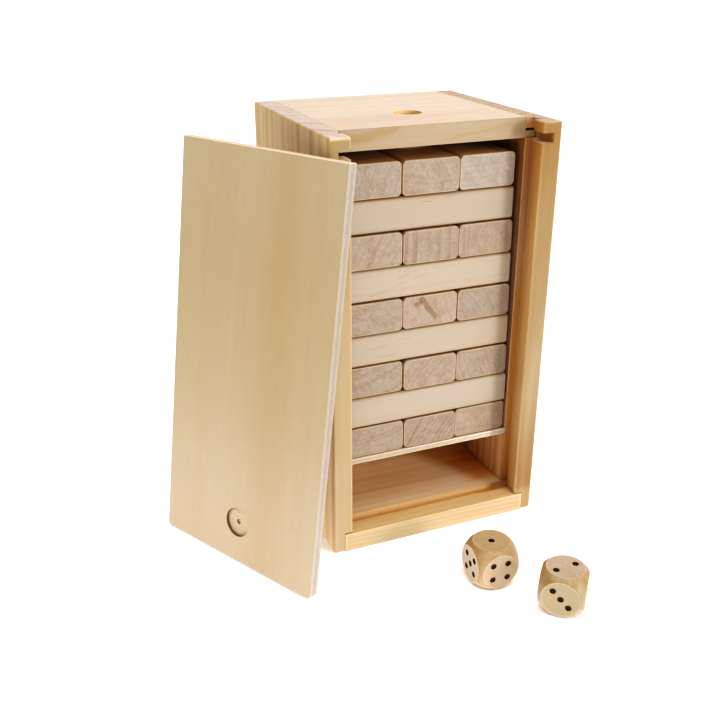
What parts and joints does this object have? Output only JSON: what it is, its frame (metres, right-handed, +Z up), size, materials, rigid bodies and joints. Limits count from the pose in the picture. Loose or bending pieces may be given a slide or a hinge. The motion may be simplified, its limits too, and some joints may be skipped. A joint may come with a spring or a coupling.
{
  "type": "boxed tumbling tower game",
  "caption": "Tabletop tumbling tower game: crossed wooden blocks stacked on a shelf in an open wooden case, with a sliding plywood lid leaning on it and two dice.",
  "frame": {"origin": "centre of the case's flat underside, on the table", "axes": "+X to the right of the open front, +Y from the open front to the back, +Z up"},
  "size_m": [0.1571, 0.1702, 0.175],
  "materials": {
    "pine_side": "satin golden pine with strong straight grain",
    "pine_top": "very pale satin pine",
    "pine_bottom": "golden satin pine",
    "back_plywood": "pale plywood, sanded",
    "shelf_plywood": "pale three-ply plywood with a visible ply line",
    "block_wood": "raw sanded pale softwood with greyish pink end grain",
    "lid_plywood": "sanded pale basswood plywood",
    "dice_wood": "polished honey-coloured wood with black painted pips"
  },
  "bodies": {
    "case": {"left_side": "pine_side", "right_side": "pine_side", "top_panel": "pine_top", "bottom_panel": "pine_bottom", "back_panel": "back_plywood", "shelf": "shelf_plywood"},
    "block_1_left": {"block_1_left": "block_wood"},
    "block_1_middle": {"block_1_middle": "block_wood"},
    "block_1_right": {"block_1_right": "block_wood"},
    "block_2_front": {"block_2_front": "block_wood"},
    "block_2_middle": {"block_2_middle": "block_wood"},
    "block_2_rear": {"block_2_rear": "block_wood"},
    "block_3_left": {"block_3_left": "block_wood"},
    "block_3_middle": {"block_3_middle": "block_wood"},
    "block_3_right": {"block_3_right": "block_wood"},
    "block_4_front": {"block_4_front": "block_wood"},
    "block_4_middle": {"block_4_middle": "block_wood"},
    "block_4_rear": {"block_4_rear": "block_wood"},
    "block_5_left": {"block_5_left": "block_wood"},
    "block_5_middle": {"block_5_middle": "block_wood"},
    "block_5_right": {"block_5_right": "block_wood"},
    "block_6_front": {"block_6_front": "block_wood"},
    "block_6_middle": {"block_6_middle": "block_wood"},
    "block_6_rear": {"block_6_rear": "block_wood"},
    "block_7_left": {"block_7_left": "block_wood"},
    "block_7_middle": {"block_7_middle": "block_wood"},
    "block_7_right": {"block_7_right": "block_wood"},
    "block_8_front": {"block_8_front": "block_wood"},
    "block_8_middle": {"block_8_middle": "block_wood"},
    "block_8_rear": {"block_8_rear": "block_wood"},
    "block_9_left": {"block_9_left": "block_wood"},
    "block_9_middle": {"block_9_middle": "block_wood"},
    "block_9_right": {"block_9_right": "block_wood"},
    "lid": {"lid": "lid_plywood"},
    "die_one": {"die_one": "dice_wood"},
    "die_two": {"die_two": "dice_wood"}
  },
  "joints": [
    {"name": "block_1_left_draw", "type": "slide", "parent": "case", "child": "block_1_left", "axis": [0, -1, 0], "range_m": [0, 0.09]},
    {"name": "block_1_middle_draw", "type": "slide", "parent": "case", "child": "block_1_middle", "axis": [0, -1, 0], "range_m": [0, 0.09]},
    {"name": "block_1_right_draw", "type": "slide", "parent": "case", "child": "block_1_right", "axis": [0, -1, 0], "range_m": [0, 0.09]},
    {"name": "block_2_front_draw", "type": "slide", "parent": "block_2_middle", "child": "block_2_front", "axis": [0, -1, 0], "range_m": [0, 0.04]},
    {"name": "block_2_middle_draw", "type": "slide", "parent": "block_2_rear", "child": "block_2_middle", "axis": [0, -1, 0], "range_m": [0, 0.065]},
    {"name": "block_2_rear_draw", "type": "slide", "parent": "case", "child": "block_2_rear", "axis": [0, -1, 0], "range_m": [0, 0.09]},
    {"name": "block_3_left_draw", "type": "slide", "parent": "case", "child": "block_3_left", "axis": [0, -1, 0], "range_m": [0, 0.09]},
    {"name": "block_3_middle_draw", "type": "slide", "parent": "case", "child": "block_3_middle", "axis": [0, -1, 0], "range_m": [0, 0.09]},
    {"name": "block_3_right_draw", "type": "slide", "parent": "case", "child": "block_3_right", "axis": [0, -1, 0], "range_m": [0, 0.09]},
    {"name": "block_4_front_draw", "type": "slide", "parent": "block_4_middle", "child": "block_4_front", "axis": [0, -1, 0], "range_m": [0, 0.04]},
    {"name": "block_4_middle_draw", "type": "slide", "parent": "block_4_rear", "child": "block_4_middle", "axis": [0, -1, 0], "range_m": [0, 0.065]},
    {"name": "block_4_rear_draw", "type": "slide", "parent": "case", "child": "block_4_rear", "axis": [0, -1, 0], "range_m": [0, 0.09]},
    {"name": "block_5_left_draw", "type": "slide", "parent": "case", "child": "block_5_left", "axis": [0, -1, 0], "range_m": [0, 0.09]},
    {"name": "block_5_middle_draw", "type": "slide", "parent": "case", "child": "block_5_middle", "axis": [0, -1, 0], "range_m": [0, 0.09]},
    {"name": "block_5_right_draw", "type": "slide", "parent": "case", "child": "block_5_right", "axis": [0, -1, 0], "range_m": [0, 0.09]},
    {"name": "block_6_front_draw", "type": "slide", "parent": "block_6_middle", "child": "block_6_front", "axis": [0, -1, 0], "range_m": [0, 0.04]},
    {"name": "block_6_middle_draw", "type": "slide", "parent": "block_6_rear", "child": "block_6_middle", "axis": [0, -1, 0], "range_m": [0, 0.065]},
    {"name": "block_6_rear_draw", "type": "slide", "parent": "case", "child": "block_6_rear", "axis": [0, -1, 0], "range_m": [0, 0.09]},
    {"name": "block_7_left_draw", "type": "slide", "parent": "case", "child": "block_7_left", "axis": [0, -1, 0], "range_m": [0, 0.09]},
    {"name": "block_7_middle_draw", "type": "slide", "parent": "case", "child": "block_7_middle", "axis": [0, -1, 0], "range_m": [0, 0.09]},
    {"name": "block_7_right_draw", "type": "slide", "parent": "case", "child": "block_7_right", "axis": [0, -1, 0], "range_m": [0, 0.09]},
    {"name": "block_8_front_draw", "type": "slide", "parent": "block_8_middle", "child": "block_8_front", "axis": [0, -1, 0], "range_m": [0, 0.04]},
    {"name": "block_8_middle_draw", "type": "slide", "parent": "block_8_rear", "child": "block_8_middle", "axis": [0, -1, 0], "range_m": [0, 0.065]},
    {"name": "block_8_rear_draw", "type": "slide", "parent": "case", "child": "block_8_rear", "axis": [0, -1, 0], "range_m": [0, 0.09]},
    {"name": "block_9_left_draw", "type": "slide", "parent": "case", "child": "block_9_left", "axis": [0, -1, 0], "range_m": [0, 0.09]},
    {"name": "block_9_middle_draw", "type": "slide", "parent": "case", "child": "block_9_middle", "axis": [0, -1, 0], "range_m": [0, 0.09]},
    {"name": "block_9_right_draw", "type": "slide", "parent": "case", "child": "block_9_right", "axis": [0, -1, 0], "range_m": [0, 0.09]},
    {"name": "lid_tip", "type": "hinge", "parent": "case", "child": "lid", "pos_m": [-0.08888, -0.03526, 0.00064], "axis": [0.4772, -0.8788, 0], "range_deg": [0, 98.7]},
    {"name": "die_one_roll", "type": "hinge", "parent": "case", "child": "die_one", "pos_m": [0.01369, -0.08604, 0], "axis": [0.0489, 0.9988, 0], "range_deg": [0, 90]},
    {"name": "die_two_roll", "type": "hinge", "parent": "case", "child": "die_two", "pos_m": [0.01657, -0.11828, 0], "axis": [0.742, -0.6704, 0], "range_deg": [0, 90]}
  ]
}
